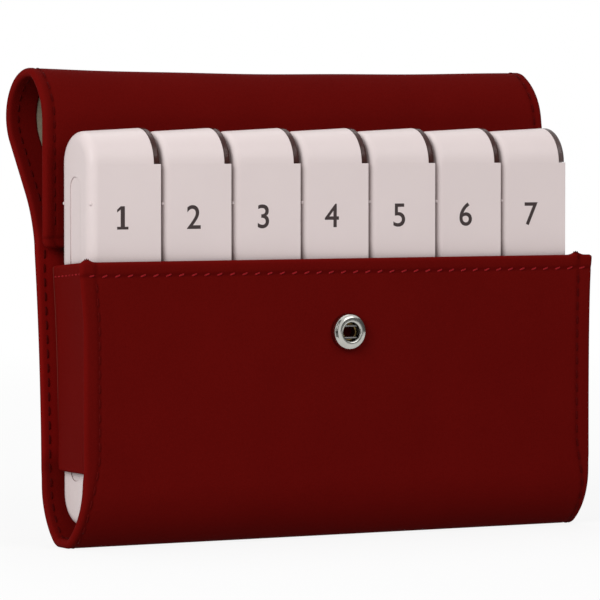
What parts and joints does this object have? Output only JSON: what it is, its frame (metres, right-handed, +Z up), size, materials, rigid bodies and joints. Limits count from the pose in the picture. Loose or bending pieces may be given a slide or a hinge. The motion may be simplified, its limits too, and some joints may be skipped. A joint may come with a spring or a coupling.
{
  "type": "weekly pill organizer",
  "caption": "Leather wallet with a rolled-back flap and a press stud, holding a row of upright day boxes with sliding lids and divided trays for pills.",
  "frame": {"origin": "middle of the flat strip under the wallet's rounded bottom", "axes": "+X along the row of boxes towards the last day, +Y from pocket front to back, +Z up"},
  "size_m": [0.146, 0.05, 0.1181],
  "materials": {
    "red_leather": "dark red grained faux leather, satin",
    "lining_cloth": "beige woven lining",
    "white_plastic": "moulded white, satin",
    "smoky_plastic": "smoky clear, glossy",
    "nickel": "bright nickel plate",
    "spring_steel": "bare spring wire",
    "brass": "plain brass"
  },
  "bodies": {
    "wallet": {"pouch_leather": "red_leather", "pouch_lining": "lining_cloth", "gusset_left": "red_leather", "gusset_right": "red_leather", "snap_socket": "nickel", "snap_spring": "spring_steel", "snap_eyelet": "brass"},
    "flap": {"flap_leather": "red_leather", "flap_lining": "lining_cloth", "snap_stud": "nickel", "snap_cap": "nickel"},
    "monday_box": {"monday_tray": "white_plastic", "monday_divider_1": "white_plastic", "monday_divider_2": "white_plastic", "monday_divider_3": "white_plastic"},
    "monday_cover": {"monday_lid": "smoky_plastic"},
    "tuesday_box": {"tuesday_tray": "white_plastic", "tuesday_divider_1": "white_plastic", "tuesday_divider_2": "white_plastic", "tuesday_divider_3": "white_plastic"},
    "tuesday_cover": {"tuesday_lid": "smoky_plastic"},
    "wednesday_box": {"wednesday_tray": "white_plastic", "wednesday_divider_1": "white_plastic", "wednesday_divider_2": "white_plastic", "wednesday_divider_3": "white_plastic"},
    "wednesday_cover": {"wednesday_lid": "smoky_plastic"},
    "thursday_box": {"thursday_tray": "white_plastic", "thursday_divider_1": "white_plastic", "thursday_divider_2": "white_plastic", "thursday_divider_3": "white_plastic"},
    "thursday_cover": {"thursday_lid": "smoky_plastic"},
    "friday_box": {"friday_tray": "white_plastic", "friday_divider_1": "white_plastic", "friday_divider_2": "white_plastic", "friday_divider_3": "white_plastic"},
    "friday_cover": {"friday_lid": "smoky_plastic"},
    "saturday_box": {"saturday_tray": "white_plastic", "saturday_divider_1": "white_plastic", "saturday_divider_2": "white_plastic", "saturday_divider_3": "white_plastic"},
    "saturday_cover": {"saturday_lid": "smoky_plastic"},
    "sunday_box": {"sunday_tray": "white_plastic", "sunday_divider_1": "white_plastic", "sunday_divider_2": "white_plastic", "sunday_divider_3": "white_plastic"},
    "sunday_cover": {"sunday_lid": "smoky_plastic"}
  },
  "joints": [
    {"name": "flap_hinge", "type": "hinge", "parent": "wallet", "child": "flap", "pos_m": [0, 0.0151, 0.07215], "axis": [-1, 0, 0], "range_deg": [0, 110]},
    {"name": "monday_lift", "type": "slide", "parent": "wallet", "child": "monday_box", "axis": [0, 0, 1], "range_m": [0, 0.1]},
    {"name": "monday_lid_slide", "type": "slide", "parent": "monday_box", "child": "monday_cover", "axis": [0, 0, 1], "range_m": [0, 0.082]},
    {"name": "tuesday_lift", "type": "slide", "parent": "wallet", "child": "tuesday_box", "axis": [0, 0, 1], "range_m": [0, 0.1]},
    {"name": "tuesday_lid_slide", "type": "slide", "parent": "tuesday_box", "child": "tuesday_cover", "axis": [0, 0, 1], "range_m": [0, 0.082]},
    {"name": "wednesday_lift", "type": "slide", "parent": "wallet", "child": "wednesday_box", "axis": [0, 0, 1], "range_m": [0, 0.1]},
    {"name": "wednesday_lid_slide", "type": "slide", "parent": "wednesday_box", "child": "wednesday_cover", "axis": [0, 0, 1], "range_m": [0, 0.082]},
    {"name": "thursday_lift", "type": "slide", "parent": "wallet", "child": "thursday_box", "axis": [0, 0, 1], "range_m": [0, 0.1]},
    {"name": "thursday_lid_slide", "type": "slide", "parent": "thursday_box", "child": "thursday_cover", "axis": [0, 0, 1], "range_m": [0, 0.082]},
    {"name": "friday_lift", "type": "slide", "parent": "wallet", "child": "friday_box", "axis": [0, 0, 1], "range_m": [0, 0.1]},
    {"name": "friday_lid_slide", "type": "slide", "parent": "friday_box", "child": "friday_cover", "axis": [0, 0, 1], "range_m": [0, 0.082]},
    {"name": "saturday_lift", "type": "slide", "parent": "wallet", "child": "saturday_box", "axis": [0, 0, 1], "range_m": [0, 0.1]},
    {"name": "saturday_lid_slide", "type": "slide", "parent": "saturday_box", "child": "saturday_cover", "axis": [0, 0, 1], "range_m": [0, 0.082]},
    {"name": "sunday_lift", "type": "slide", "parent": "wallet", "child": "sunday_box", "axis": [0, 0, 1], "range_m": [0, 0.1]},
    {"name": "sunday_lid_slide", "type": "slide", "parent": "sunday_box", "child": "sunday_cover", "axis": [0, 0, 1], "range_m": [0, 0.082]}
  ]
}
